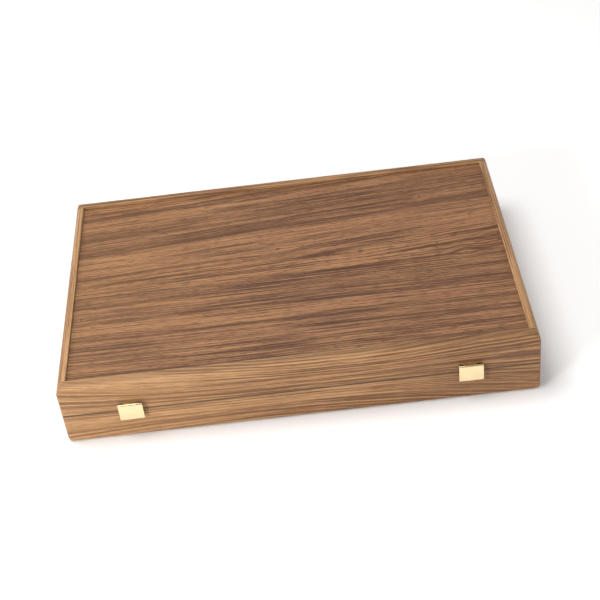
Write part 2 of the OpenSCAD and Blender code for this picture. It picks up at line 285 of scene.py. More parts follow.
# %% Helpers for node groups
def new_group(name, inputs, outputs):
    """An empty node group with number inputs and outputs, and its two end nodes."""
    group = bpy.data.node_groups.new(name, "ShaderNodeTree")
    for label, default in inputs.items():
        kind = "NodeSocketVector" if isinstance(default, tuple) else "NodeSocketFloat"
        socket = group.interface.new_socket(name=label, in_out="INPUT", socket_type=kind)
        socket.default_value = default
    for label in outputs:
        group.interface.new_socket(name=label, in_out="OUTPUT", socket_type="NodeSocketFloat")
    entry = group.nodes.new("NodeGroupInput")
    leave = group.nodes.new("NodeGroupOutput")
    return group, entry.outputs, leave.inputs


def use_group(tree, group, **values):
    """Places a node group; the words of a socket's name are joined by underscores here."""
    node = tree.nodes.new("ShaderNodeGroup")
    node.node_tree = group
    for label, value in values.items():
        feed(tree, node.inputs[label.replace("_", " ")], value)
    return node.outputs


# %% Studio walls and ceiling
world_tree = world.node_tree
gaze = world_tree.nodes.new("ShaderNodeTexCoord")
rise = apart(world_tree, gaze.outputs["Generated"])["Z"]
studio = ramp(world_tree, rise, [(0.0, 0.9), (0.06, 0.8), (0.2, 0.5), (0.6, 0.38)])
world_tree.links.new(studio, world_tree.nodes["Background"].inputs["Color"])
print("studio walls are brighter than the ceiling")

# %% [markdown]
# ## Wood figure
# Sliced walnut shows its growth rings as long lines. Each ring is pale where it grew fast and ends in
# a dark edge, the rings wander a little along the board, and short dark pores lie in the same
# direction. An image of wood would do, but it repeats and stretches. Rings computed from the place
# on the board never repeat, and the same group serves panels, rails, veneer and chequers.

# %% Build the wood figure group
figure, given, wanted = new_group(
    "wood_figure",
    {"Along": 0.0, "Across": 0.0, "Seed": 0.0, "Rings per metre": 110.0, "Wander": 0.004, "Contrast": 1.0},
    ["Drift", "Rings", "Streaks", "Pores"],
)


def on_board(along_scale, across, across_scale, seed=given["Seed"]):
    """The place on the board, each direction scaled, so that noise read there follows the grain."""
    along = times(figure, given["Along"], along_scale)
    return point(figure, along, times(figure, across, across_scale), seed)


def layer(where, roughness, strength):
    """One layer of streaks, as much above nothing as below it."""
    return times(figure, minus(figure, cloud(figure, where, 1.0, 2.0, roughness), 0.5), strength)


swing = minus(figure, cloud(figure, on_board(3.0, given["Across"], 16.0), 1.0, 1.0), 0.5)
ripple = minus(figure, cloud(figure, on_board(17.0, given["Across"], 45.0), 1.0, 2.0), 0.5)
shift = calc(figure, "MULTIPLY_ADD", ripple, 0.42, times(figure, swing, 2.0))
drift = calc(figure, "MULTIPLY_ADD", shift, given["Wander"], given["Across"])
figure.links.new(drift, wanted["Drift"])

uneven = cloud(figure, on_board(0.5, drift, 42.0), 1.0, 2.0)
count = calc(figure, "MULTIPLY_ADD", drift, given["Rings per metre"], times(figure, uneven, 5.0))
within = calc(figure, "FRACT", count)
late = fade(figure, within, 0.25, 0.93)
drop = fade(figure, within, 0.93, 1.0, 1.0, 0.0)
ring_seed = point(figure, calc(figure, "FLOOR", count), given["Seed"], 0.37)
dice_roll = figure.nodes.new("ShaderNodeTexWhiteNoise")
figure.links.new(ring_seed, dice_roll.inputs["Vector"])
weight = calc(figure, "MULTIPLY_ADD", dice_roll.outputs["Value"], 0.75, 0.25)
patchy = fade(figure, cloud(figure, on_board(6.0, drift, 60.0), 1.0, 2.0), 0.3, 0.6)
rings = times(figure, times(figure, late, drop), times(figure, weight, patchy))
figure.links.new(times(figure, rings, given["Contrast"], clamp=True), wanted["Rings"])

fine = layer(on_board(7.5, drift, 820.0), 0.8, 5.4)
broad = layer(on_board(2.6, drift, 330.0, plus(figure, given["Seed"], 9.0)), 0.6, 0.9)
finest = layer(on_board(90.0, drift, 3600.0), 0.6, 1.5)
layers = plus(figure, plus(figure, fine, broad), plus(figure, finest, 0.5))
figure.links.new(layers, wanted["Streaks"])
pores = cloud(figure, on_board(85.0, drift, 1150.0), 1.0, 1.0)
figure.links.new(fade(figure, pores, 0.55, 0.66), wanted["Pores"])
print(figure.name, "has", len(figure.nodes), "nodes")

# %% [markdown]
# ## Small knots
# Walnut veneer has pin knots, where a thin twig once grew: a dark speck a few millimetres long with
# a paler ring, which the grain flows round. They are few and each has its own place, so a group that
# draws one knot at a given place is put down once for each of them.

# %% Build the pin knot group
KNOT_PUSH = 2.2 * MM
knot, given, wanted = new_group(
    "pin_knot",
    {"Along": 0.0, "Across": 0.0, "Knot along": 0.0, "Knot across": 0.0, "Size": 0.002, "Squeeze": 0.4},
    ["Dark", "Halo", "Push"],
)
dx = minus(knot, given["Along"], given["Knot along"])
dy = minus(knot, given["Across"], given["Knot across"])
rough_edge = cloud(knot, point(knot, times(knot, dx, 500.0), times(knot, dy, 700.0)), 1.0, 2.0)
squared = plus(knot, times(knot, times(knot, dx, dx), given["Squeeze"]), times(knot, dy, dy))
reach = calc(knot, "DIVIDE", calc(knot, "SQRT", squared), given["Size"])
ragged = calc(knot, "MULTIPLY_ADD", rough_edge, 1.7, minus(knot, reach, 0.85))
knot.links.new(fade(knot, ragged, 0.2, 0.9, 1.0, 0.0), wanted["Dark"])
knot.links.new(fade(knot, reach, 0.8, 4.5, 1.0, 0.0), wanted["Halo"])
bulge = fade(knot, reach, 0.0, 11.0, 1.0, 0.0)
knot.links.new(times(knot, times(knot, bulge, calc(knot, "SIGN", dy)), KNOT_PUSH), wanted["Push"])

# %% [markdown]
# ## Handled edges
# Where hands pick up a case, the oil is rubbed off its edges and they turn a little paler and
# duller. The distance from an edge is found from the piece's own box: on a face one of the three
# distances to the box is nothing, so the middle one is the distance to the nearest edge.

# %% Build the handled edge group
worn, given, wanted = new_group(
    "handled_edge",
    {"Point": (0.0, 0.0, 0.0), "Low": (0.0, 0.0, 0.0), "High": (1.0, 1.0, 1.0), "Width": 0.002},
    ["Edge"],
)
gaps = []
spans = zip(apart(worn, given["Point"]), apart(worn, given["Low"]), apart(worn, given["High"]))
for here, low, high in spans:
    gaps.append(calc(worn, "MINIMUM", minus(worn, here, low), minus(worn, high, here)))
least = calc(worn, "MINIMUM", calc(worn, "MINIMUM", gaps[0], gaps[1]), gaps[2])
most = calc(worn, "MAXIMUM", calc(worn, "MAXIMUM", gaps[0], gaps[1]), gaps[2])
total = plus(worn, plus(worn, gaps[0], gaps[1]), gaps[2])
middle = minus(worn, total, plus(worn, least, most))
frayed = calc(worn, "MULTIPLY_ADD", cloud(worn, given["Point"], 260.0, 3.0), 1.6, 0.2)
depth_in = calc(worn, "DIVIDE", middle, times(worn, given["Width"], frayed))
worn.links.new(fade(worn, depth_in, 0.1, 1.0, 1.0, 0.0), wanted["Edge"])

# %% [markdown]
# ## Panel veneer
# The recessed top is one wide sheet of veneer, sliced so that the rings run nearly parallel to the
# long sides at the front and open into a long tongue towards the back right. Broad dark and light
# bands come first, from a row of tones across the sheet, then the finer rings, streaks and pores,
# and last the knots.

# %% Tones of walnut
WALNUT_DARK = paint(74, 45, 30)
WALNUT_GREY = paint(113, 77, 53)
WALNUT_MID = paint(138, 96, 64)
WALNUT_LIGHT = paint(165, 121, 83)
WALNUT_SAP = paint(188, 137, 82)
WALNUT_TONES = [(0.0, WALNUT_DARK), (0.28, WALNUT_GREY), (0.6, WALNUT_MID), (1.0, WALNUT_LIGHT)]
KNOT_HEART = paint(52, 36, 30)

PANEL_BANDS = [
    (0.00, 0.45), (0.035, 0.25), (0.05, 0.6), (0.085, 0.3), (0.10, 0.6), (0.15, 0.38), (0.19, 0.6),
    (0.215, 0.35), (0.235, 0.95), (0.283, 0.9), (0.292, 0.12), (0.325, 0.4), (0.375, 0.62), (0.39, 0.1),
    (0.40, 0.6), (0.43, 0.34), (0.455, 0.7), (0.54, 0.62), (0.58, 0.8), (0.67, 0.85), (0.684, 0.05),
    (0.73, 0.3), (0.75, 0.55), (0.80, 0.3), (0.85, 0.5), (0.875, 0.95), (0.90, 0.75), (0.91, 0.25),
    (0.935, 0.65), (0.965, 0.35), (0.98, 0.55), (1.0, 0.15),
]
PANEL_KNOTS = [
    (0.154, 0.100, 0.0026, 1.7), (0.161, 0.054, 0.0013, 0.8), (0.079, 0.013, 0.0023, 0.16),
    (0.190, -0.010, 0.0019, 0.9), (-0.010, 0.033, 0.0024, 0.25), (-0.221, -0.050, 0.0026, 1.5),
]


def oiled(shader):
    """The thin satin lacquer that lies on all wood of the case."""
    shader.inputs["Specular IOR Level"].default_value = 0.35
    shader.inputs["Coat Roughness"].default_value = 0.35


def panel_veneer(name, seed):
    """The sheet on the outside of a half; the two halves' sheets differ by their seed."""
    material, tree, shader = new_material(name)
    x, y, _ = apart(tree, body_point(tree))
    along = plus(tree, x, seed * 0.37) if seed else x
    low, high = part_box("lid_panel")
    tongue = fade(tree, y, -0.035, 0.045)
    slope = times(tree, tongue, 0.066)
    run = minus(tree, x, low.x)
    across = minus(tree, y, times(tree, slope, run))
    dark, halo = 0.0, 0.0
    for knot_x, knot_y, size, squeeze in PANEL_KNOTS if not seed else PANEL_KNOTS[2:4]:
        spot = use_group(tree, knot, Along=x, Across=y, Knot_along=knot_x, Knot_across=knot_y, Size=size,
                         Squeeze=squeeze)
        dark = calc(tree, "MAXIMUM", spot["Dark"], dark)
        halo = calc(tree, "MAXIMUM", spot["Halo"], halo)
        across = minus(tree, across, spot["Push"])
    wood = use_group(tree, figure, Along=along, Across=across, Seed=seed + 3.1, Rings_per_metre=150.0,
                     Wander=0.0045, Contrast=1.2)
    share = calc(tree, "DIVIDE", minus(tree, wood["Drift"], low.y), high.y - low.y)
    tone = ramp(tree, share, PANEL_BANDS, "EASE")
    tone = calc(tree, "MULTIPLY_ADD", minus(tree, wood["Streaks"], 0.5), 1.35, tone)
    tone = minus(tree, tone, times(tree, wood["Rings"], 0.62), clamp=True)
    calm = fade(tree, x, -0.1, 0.2, 1.0, 0.8)
    tone = calc(tree, "MULTIPLY_ADD", minus(tree, tone, 0.55), calm, 0.54)
    colour = ramp(tree, tone, WALNUT_TONES)
    haze = point(tree, times(tree, x, 3.0), times(tree, across, 40.0), seed + 1.7)
    smoky = fade(tree, cloud(tree, haze, 1.0, 1.0), 0.45, 0.75)
    colour = blend(tree, times(tree, smoky, 0.22), colour, WALNUT_GREY)
    warm = fade(tree, x, -0.23, 0.05, 0.15, 0.0)
    colour = blend(tree, warm, colour, WALNUT_SAP)
    colour = blend(tree, times(tree, halo, 0.25), colour, WALNUT_LIGHT)
    colour = blend(tree, times(tree, wood["Pores"], 0.6), colour, WALNUT_DARK)
    colour = blend(tree, times(tree, dark, 0.9), colour, KNOT_HEART)
    feed(tree, shader.inputs["Base Color"], colour)
    oiled(shader)
    feed(tree, shader.inputs["Roughness"], calc(tree, "MULTIPLY_ADD", wood["Streaks"], 0.22, 0.40))
    relief(tree, shader, minus(tree, wood["Streaks"], wood["Pores"]), 0.00006)
    return material


# %% Veneer for the two panels
def dress(piece, material):
    """Gives a piece one material and nothing else."""
    piece.data.materials.clear()
    piece.data.materials.append(material)


dress(nodes["lid_panel"], panel_veneer("lid_panel_veneer", 0.0))
dress(nodes["base_panel"], panel_veneer("base_panel_veneer", 2.0))
print("veneer on", nodes["lid_panel"].name, "and", nodes["base_panel"].name)

# %% [markdown]
# ## Rail wood
# The rails are lighter than the panels. On the front the grain runs on from the top over the
# rounded edge, and from the lid to the base, because both come from one board. To get that, the
# distance across the grain is measured round the edge, and both halves measure from the split line.
# The ends of the long rails show end grain, which is darker and full of open pores.


# %% Rail material
RAIL_TONES = [
    (0.0, paint(102, 66, 38)),
    (0.35, paint(139, 99, 63)),
    (0.7, paint(163, 121, 82)),
    (1.0, paint(182, 140, 97)),
]
RAIL_SAP = paint(192, 147, 100)
RAIL_HEART = paint(142, 99, 63)
# painted shade: the darker colour laid on the tops of the front rails
RAIL_TOP_PAINTED_SHADE = paint(132, 99, 68)
RAIL_LINES = paint(106, 71, 42)
RAIL_BOLD = paint(98, 66, 44)
RAIL_PORES = paint(96, 66, 42)
# painted shadow: the dark colour of the line where lid and base meet
SEAM_PAINTED_SHADOW = paint(70, 48, 34)
RUBBED_EDGE = paint(178, 160, 128)
END_GRAIN_TONES = [(0.25, paint(96, 70, 50)), (0.75, paint(152, 116, 84))]


def rail_wood(name, node, runs_along, seed, fan=0.0, sap=0.0, heart=0.0):
    """Wood of one rail: fan spreads its lines to the ends, sap pales its left, heart browns its right."""
    material, tree, shader = new_material(name)
    here = body_point(tree)
    x, y, z = apart(tree, here)
    low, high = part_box(node)
    over = 1.0 if node.startswith("lid") else -1.0
    height = minus(tree, z, split_z)
    if runs_along == "x":
        inward = minus(tree, y, low.y) if "front" in node else minus(tree, high.y, y)
        along = x
    else:
        inward = minus(tree, x, low.x) if "left" in node else minus(tree, high.x, x)
        along = y
    across = calc(tree, "MULTIPLY_ADD", inward, over, height)
    if fan:
        spread = calc(tree, "MULTIPLY_ADD", times(tree, x, x), fan, 1.0)
        across = calc(tree, "DIVIDE", across, spread)
        across = calc(tree, "MULTIPLY_ADD", x, 0.03, across)
    wood = use_group(tree, figure, Along=along, Across=across, Seed=seed, Rings_per_metre=270.0,
                     Wander=0.005, Contrast=1.5)
    slice_at = point(tree, times(tree, along, 1.2), times(tree, wood["Drift"], 75.0), seed + 5.0)
    tone = fade(tree, cloud(tree, slice_at, 1.0, 2.0), 0.32, 0.66, 0.5, 0.95)
    tone = calc(tree, "MULTIPLY_ADD", minus(tree, wood["Streaks"], 0.5), 1.0, tone)
    tone = minus(tree, tone, times(tree, wood["Rings"], 0.8), clamp=True)
    colour = ramp(tree, tone, RAIL_TONES)
    if sap:
        pale = fade(tree, x, 0.0, -0.2, 0.0, sap)
        colour = blend(tree, pale, colour, RAIL_SAP)
        colour = blend(tree, fade(tree, x, -0.02, 0.24, 0.0, heart), colour, RAIL_HEART)
        # painted shade: the rail darkens from its front face onto its top, so the top reads less lit than the
        # front
        colour = blend(tree, fade(tree, inward, 0.001, 0.006, 0.0, 0.36), colour, RAIL_TOP_PAINTED_SHADE)
        lines = times(tree, wood["Rings"], fade(tree, x, 0.0, 0.2, 0.55, 0.9))
        colour = blend(tree, lines, colour, RAIL_LINES)
        bold = times(tree, fade(tree, wood["Streaks"], 0.6, 0.1), fade(tree, x, 0.0, 0.2, 0.0, 0.6))
        colour = blend(tree, bold, colour, RAIL_BOLD)
    colour = blend(tree, times(tree, wood["Pores"], 0.30), colour, RAIL_PORES)
    # painted shadow: a dark line on the outer faces along the split, where the gap between the halves holds
    # shade
    seam_painted_shadow = fade(tree, calc(tree, "ABSOLUTE", height), 0.0007, 0.0016, 0.75, 0.0)
    seam_painted_shadow = times(tree, seam_painted_shadow, fade(tree, inward, 0.0008, 0.0014, 1.0, 0.0))
    colour = blend(tree, seam_painted_shadow, colour, SEAM_PAINTED_SHADOW)
    edge = use_group(tree, worn, Point=here, Low=tuple(low), High=tuple(high), Width=0.0018)["Edge"]
    colour = blend(tree, times(tree, edge, 0.14), colour, RUBBED_EDGE)
    if runs_along == "x":
        reach_x = calc(tree, "ABSOLUTE", x)
        end = fade(tree, reach_x, half_w - 0.0012, half_w - 0.0003)
        cut = cloud(tree, point(tree, 0.0, times(tree, y, 900.0), times(tree, z, 900.0)), 1.0, 3.0)
        bow = calc(tree, "MULTIPLY_ADD", times(tree, y, y), 4.0, z)
        arcs = calc(tree, "SINE", times(tree, bow, 2300.0))
        end_tone = calc(tree, "MULTIPLY_ADD", arcs, 0.16, cut, clamp=True)
        end_grain = ramp(tree, end_tone, END_GRAIN_TONES)
        colour = blend(tree, end, colour, end_grain)
    feed(tree, shader.inputs["Base Color"], colour)
    oiled(shader)
    rough = calc(tree, "MULTIPLY_ADD", wood["Streaks"], 0.2, 0.40)
    feed(tree, shader.inputs["Roughness"], calc(tree, "MULTIPLY_ADD", edge, 0.12, rough))
    relief(tree, shader, minus(tree, wood["Streaks"], times(tree, wood["Pores"], 1.2)), 0.00006)
    return material


# %% [markdown]
# ## Eased edges
# No edge on the real case is sharp: it has been sanded, so each joint shows a thin line of shadow
# and each rim catches the light. The measured parts keep their exact corners for the simulation.
# A copy with a very small bevel is shown in their place.


# %% Ease the edges of a measured part
WELD = 0.002 * MM
SMOOTH_ANGLE = math.radians(40)
RAIL_EASE = 0.25 * MM
DIVIDER_EASE = 0.6 * MM
COVER_EASE = 0.12 * MM
PLATE_EASE = 0.08 * MM
LEAF_EASE = 0.12 * MM


def eased(node, width, steps=2):
    """A copy of a measured part with its sharp edges bevelled by width, in metres."""
    copy = bmesh.new()
    copy.from_mesh(nodes[node].data)
    bmesh.ops.remove_doubles(copy, verts=copy.verts, dist=WELD)
    bmesh.ops.dissolve_limit(copy, angle_limit=math.radians(0.6), verts=copy.verts, edges=copy.edges)
    sharp = [e for e in copy.edges if e.is_manifold and e.calc_face_angle(0) > math.radians(32)]
    bmesh.ops.bevel(copy, geom=sharp, offset=width, segments=steps, profile=0.6, affect="EDGES",
                    clamp_overlap=True)
    mesh = bpy.data.meshes.new(node + ".eased")
    copy.to_mesh(mesh)
    copy.free()
    piece = bpy.data.objects.new(node + ".eased", mesh)
    bpy.context.scene.collection.objects.link(piece)
    mesh.shade_smooth()
    mesh.set_sharp_from_angle(angle=SMOOTH_ANGLE)
    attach(piece, body_of[node])
    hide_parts(node)
    return piece


# %% Rails of both halves
RAILS = [
    ("front", "x", 7.3, 13.0),
    ("back", "x", 11.2, 0.0),
    ("left", "y", 4.6, 0.0),
    ("right", "y", 9.8, 0.0),
]
TINTS = {"base": (0.5, 0.62), "lid": (0.46, 0.35)}
for half, (sap, heart) in TINTS.items():
    for rail, direction, seed, fan in RAILS:
        node = f"{half}_{rail}_rail"
        piece = eased(node, RAIL_EASE)
        tint = (sap, heart) if fan else (0.0, 0.0)
        dress(piece, rail_wood(f"{half}_{rail}_rail_walnut", node, direction, seed, fan, *tint))
print("eight rails eased and finished")

# %% [markdown]
# ## Playing field, points and dividers
# Inside, the field is a plain walnut sheet, and the long points are let into it in a pale and a
# nearly black wood. The grain of each point runs along its length, as in real marquetry.


# %% Inside woods
def inside_wood(name, tones, seed):
    """A quiet straight-grained wood; tones are its dark, middle and light colours."""
    material, tree, shader = new_material(name)
    x, y, z = apart(tree, body_point(tree))
    wood = use_group(tree, figure, Along=x, Across=plus(tree, y, z), Seed=seed, Rings_per_metre=220.0,
                     Wander=0.004, Contrast=1.0)
    tone = minus(tree, wood["Streaks"], times(tree, wood["Rings"], 0.45), clamp=True)
    colour = ramp(tree, tone, [(0.12, tones[0]), (0.45, tones[1]), (0.75, tones[2])])
    colour = blend(tree, times(tree, wood["Pores"], 0.3), colour, tones[0])
    feed(tree, shader.inputs["Base Color"], colour)
    oiled(shader)
    feed(tree, shader.inputs["Roughness"], calc(tree, "MULTIPLY_ADD", wood["Streaks"], 0.15, 0.35))
    relief(tree, shader, minus(tree, wood["Streaks"], wood["Pores"]), 0.00004)
    return material


FIELD_TONES = (paint(92, 66, 50), paint(136, 102, 76), paint(160, 124, 92))
PALE_INLAY_TONES = (paint(176, 142, 98), paint(206, 174, 128), paint(222, 194, 150))
DARK_INLAY_TONES = (paint(34, 24, 20), paint(56, 40, 32), paint(78, 56, 44))
DIVIDER_TONES = (paint(96, 70, 52), paint(146, 110, 80), paint(170, 132, 98))
field_wood = inside_wood("field_walnut", FIELD_TONES, 15.0)
pale_inlay = inside_wood("pale_inlay", PALE_INLAY_TONES, 21.0)
dark_inlay = inside_wood("dark_inlay", DARK_INLAY_TONES, 27.0)
divider_wood = inside_wood("divider_walnut", DIVIDER_TONES, 31.0)
for half in ("base", "lid"):
    dress(nodes[half + "_field"], field_wood)
    dress(nodes[half + "_light_points"], pale_inlay)
    dress(nodes[half + "_dark_points"], dark_inlay)
    wall = eased(half + "_rack_divider", DIVIDER_EASE, 3)
    dress(wall, divider_wood)
print("playing fields, points and dividers finished")

# %% [markdown]
# ## Brass
# The latches are bent from thin pale brass and brushed along their width, then lacquered. Brushing
# leaves fine parallel lines that spread reflections, so the lines go into the roughness and into a
# very shallow bump. The hinges are the same brass, turned darker where it is never touched.

# %% Build the brushing group
brushed, given, wanted = new_group(
    "brushed_lines", {"Point": (0.0, 0.0, 0.0), "Stretch": (1.0, 1.0, 1.0), "Lines per metre": 3000.0},
    ["Lines", "Tarnish"],
)
scaled = brushed.nodes.new("ShaderNodeVectorMath")
scaled.operation = "MULTIPLY"
brushed.links.new(given["Point"], scaled.inputs[0])
brushed.links.new(given["Stretch"], scaled.inputs[1])
brushed.links.new(cloud(brushed, scaled.outputs[0], given["Lines per metre"], 3.0, 0.6), wanted["Lines"])
brushed.links.new(fade(brushed, cloud(brushed, given["Point"], 140.0, 3.0), 0.42, 0.72), wanted["Tarnish"])


def brass(name, light, dark, roughness=0.24, tarnish=0.35):
    """Metal brushed along X; tarnish says how much of it turns to the dark colour."""
    material, tree, shader = new_material(name)
    lines = use_group(tree, brushed, Point=body_point(tree), Stretch=(0.03, 1.0, 1.0), Lines_per_metre=3200.0)
    stain = times(tree, lines["Tarnish"], tarnish)
    feed(tree, shader.inputs["Base Color"], blend(tree, stain, light, dark))
    shader.inputs["Metallic"].default_value = 1.0
    rough = calc(tree, "MULTIPLY_ADD", lines["Lines"], 0.16, roughness - 0.08)
    feed(tree, shader.inputs["Roughness"], calc(tree, "MULTIPLY_ADD", stain, 0.2, rough))
    relief(tree, shader, lines["Lines"], 0.000012)
    return material


# %% Latches and hinges
latch_brass = brass("latch_brass", paint(242, 222, 178), paint(220, 196, 138), tarnish=0.25)
hinge_brass = brass("hinge_brass", paint(206, 178, 112), paint(140, 112, 64), roughness=0.3, tarnish=0.6)
pin_steel = brass("pin_steel", paint(176, 172, 164), paint(120, 116, 108), roughness=0.3)
for hand in ("left", "right"):
    for part in ("cover", "bracket", "catch"):
        piece = eased(f"{hand}_latch_{part}", COVER_EASE if part == "cover" else PLATE_EASE)
        dress(piece, latch_brass)
    dress(nodes[f"{hand}_latch_pin"], pin_steel)
for where in ("left", "middle", "right"):
    for leaf in ("lower", "upper"):
        piece = eased(f"{where}_hinge_{leaf}_leaf", LEAF_EASE)
        dress(piece, hinge_brass)
    dress(nodes[f"{where}_hinge_pin"], pin_steel)
print("brass fitted")

# %% [markdown]
# ## Turned pieces
# Chequers, screw heads and nail heads are all turned: a tool follows a profile while the wood or
# metal spins. The same is done here. A profile of radius and height is spun round an axis, and the
# result is set down wherever the measured model has that part.


# %% Helpers for turned pieces
def solids(node):
    """The boxes of the separate solids in one measured part, as (low, high), from left to right."""
    shape = bmesh.new()
    shape.from_mesh(nodes[node].data)
    bmesh.ops.remove_doubles(shape, verts=shape.verts, dist=WELD)
    left = set(shape.verts)
    boxes = []
    while left:
        grown = [left.pop()]
        for vertex in grown:
            for edge in vertex.link_edges:
                other = edge.other_vert(vertex)
                if other in left:
                    left.remove(other)
                    grown.append(other)
        spots = [vertex.co for vertex in grown]
        boxes.append((Vector(map(min, zip(*spots))), Vector(map(max, zip(*spots)))))
    shape.free()
    return sorted(boxes, key=lambda pair: tuple(pair[0]))


def turned(shape, profile, place, segments=48):
    """Spins a closed profile of (radius, height) round the local Z axis and adds it to shape."""
    rows = []
    for radius, height in profile:
        if radius == 0:
            rows.append([shape.verts.new(place @ Vector((0, 0, height)))])
            continue
        turns = [2 * math.pi * i / segments for i in range(segments)]
        rows.append([shape.verts.new(place @ Vector((radius * math.cos(a), radius * math.sin(a), height)))
                     for a in turns])
    for lower, upper in zip(rows, rows[1:]):
        for i in range(segments):
            j = (i + 1) % segments
            if len(lower) == 1:
                shape.faces.new((lower[0], upper[i], upper[j]))
            elif len(upper) == 1:
                shape.faces.new((lower[j], lower[i], upper[0]))
            else:
                shape.faces.new((lower[j], lower[i], upper[i], upper[j]))


def finish_piece(name, shape, body, slot, materials, *replaced):
    """Turns built geometry into a piece that rides on a body and stands for measured parts."""
    bmesh.ops.recalc_face_normals(shape, faces=shape.faces)
    mesh = bpy.data.meshes.new(name)
    shape.to_mesh(mesh)
    shape.free()
    piece = bpy.data.objects.new(name, mesh)
    bpy.context.scene.collection.objects.link(piece)
    for material in materials:
        mesh.materials.append(material)
    mesh.shade_smooth()
    mesh.set_sharp_from_angle(angle=SMOOTH_ANGLE)
    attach(piece, body)
    if replaced:
        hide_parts(*replaced)
    return piece


# %% [markdown]
# ## Chequers
# A chequer has a raised rim, a dished face and a fine ring round its middle. Each one is sawn from a
# different spot of a plank, so the wood group gets a new seed for every slice along the rack.


# %% Chequer wood
def chequer_wood(name, node, tones, seed):
    """Wood whose figure starts anew with every chequer of a row."""
    material, tree, shader = new_material(name)
    x, y, z = apart(tree, body_point(tree))
    row = solids(node)
    pitch = (row[-1][0].x - row[0][0].x) / (len(row) - 1)
    number = calc(tree, "FLOOR", calc(tree, "DIVIDE", minus(tree, x, row[0][0].x - 0.0001), pitch))
    throw = tree.nodes.new("ShaderNodeTexWhiteNoise")
    throw.noise_dimensions = "1D"
    feed(tree, throw.inputs["W"], plus(tree, number, seed))
    luck = throw.outputs["Value"]
    wood = use_group(tree, figure, Along=plus(tree, y, luck), Across=plus(tree, x, z),
                     Seed=calc(tree, "MULTIPLY_ADD", luck, 40.0, seed), Rings_per_metre=260.0, Wander=0.004,
                     Contrast=1.1)
    tone = minus(tree, wood["Streaks"], times(tree, wood["Rings"], 0.5))
    tone = calc(tree, "MULTIPLY_ADD", luck, 0.24, minus(tree, tone, 0.12), clamp=True)
    colour = ramp(tree, tone, [(0.12, tones[0]), (0.45, tones[1]), (0.8, tones[2])])
    colour = blend(tree, times(tree, wood["Pores"], 0.3), colour, tones[0])
    feed(tree, shader.inputs["Base Color"], colour)
    oiled(shader)
    shader.inputs["Coat Weight"].default_value = 0.25
    feed(tree, shader.inputs["Roughness"], calc(tree, "MULTIPLY_ADD", wood["Streaks"], 0.15, 0.3))
    relief(tree, shader, minus(tree, wood["Streaks"], wood["Pores"]), 0.00003)
    return material


# %% Turn the chequers
def chequer_profile(radius, half):
    """Half section of a chequer: ring groove, dish, raised rim and rounded edge, top to bottom."""
    face = [(0, 0.86), (0.16, 0.86), (0.175, 0.80), (0.20, 0.80), (0.215, 0.86), (0.56, 0.84),
            (0.61, 0.88), (0.66, 0.985), (0.69, 1.0), (0.90, 1.0), (0.945, 0.965), (0.975, 0.88),
            (0.993, 0.77), (1.0, 0.62)]
    upper = [(radius * r, half * h) for r, h in face]
    return upper + [(r, -h) for r, h in reversed(upper)]


PALE_TONES = (paint(172, 132, 84), paint(206, 168, 116), paint(224, 190, 140))
DARK_TONES = (paint(30, 20, 16), paint(54, 36, 27), paint(78, 53, 40))
face_on = Matrix.Rotation(math.radians(90), 4, "Y")
CHEQUERS = [("light", PALE_TONES, 51.0, "pale_wood"), ("dark", DARK_TONES, 77.0, "dark_wood")]
for shade, tones, seed, finish in CHEQUERS:
    node = shade + "_chequers"
    shape = bmesh.new()
    for low, high in solids(node):
        size = high - low
        seat = Matrix.Translation((low + high) / 2) @ face_on
        turned(shape, chequer_profile(size.z / 2, size.x / 2), seat, 56)
    wood = chequer_wood(node + "_wood", node, tones, seed)
    finish_piece(node + ".turned", shape, "base", finish, [wood], node)
    print(node, "turned:", len(solids(node)))

# %% [markdown]
# ## Screws and nails
# The hinges are held by countersunk screws with a sawn slot, and the latch plates by small domed
# nails. A slot at a slightly different angle on every screw looks right, because nobody lines them up.


# %% Turn the screws and nails
def sawn(piece, cutters):
    """Cuts boxes or balls out of a piece, and leaves a plain mesh behind."""
    cutter_mesh = bpy.data.meshes.new("cutter")
    bmesh.ops.recalc_face_normals(cutters, faces=cutters.faces)
    cutters.to_mesh(cutter_mesh)
    cutters.free()
    cutter = bpy.data.objects.new("cutter", cutter_mesh)
    bpy.context.scene.collection.objects.link(cutter)
    cut = piece.modifiers.new("cut", "BOOLEAN")
    cut.operation = "DIFFERENCE"
    cut.solver = "EXACT"
    cut.object = cutter
    bpy.context.view_layer.update()
    result = bpy.data.meshes.new_from_object(piece.evaluated_get(bpy.context.evaluated_depsgraph_get()))
    piece.modifiers.clear()
    piece.data = result
    bpy.data.objects.remove(cutter)
    result.set_sharp_from_angle(angle=SMOOTH_ANGLE)


SLOT_SIZE = Vector((4.2, 0.45, 0.9)) * MM
for half, facing in (("base", 1), ("lid", -1)):
    node = half + "_hinge_screws"
    shape = bmesh.new()
    slots = bmesh.new()
    for number, (low, high) in enumerate(solids(node)):
        centre = (low + high) / 2
        radius = (high.x - low.x) / 2
        rim = high.z if facing > 0 else low.z
        upright = Matrix.Diagonal((1, 1, facing, 1))
        place = Matrix.Translation((centre.x, centre.y, rim)) @ upright
        length = high.z - low.z
        profile = [(0, 0), (0.88 * radius, 0), (radius, -0.00012), (0.53 * radius, -0.0009),
                   (0.53 * radius, 0.0016 - length), (0.25 * radius, 0.0004 - length), (0, -length)]
        turned(shape, profile, place, 28)
        turn = Matrix.Rotation(math.radians(35 + 67 * number), 4, "Z")
        scale = Matrix.Diagonal((*SLOT_SIZE, 1))
        bmesh.ops.create_cube(slots, size=1, matrix=place @ turn @ scale)
    piece = finish_piece(node + ".turned", shape, half, "brass", [hinge_brass], node)
    sawn(piece, slots)

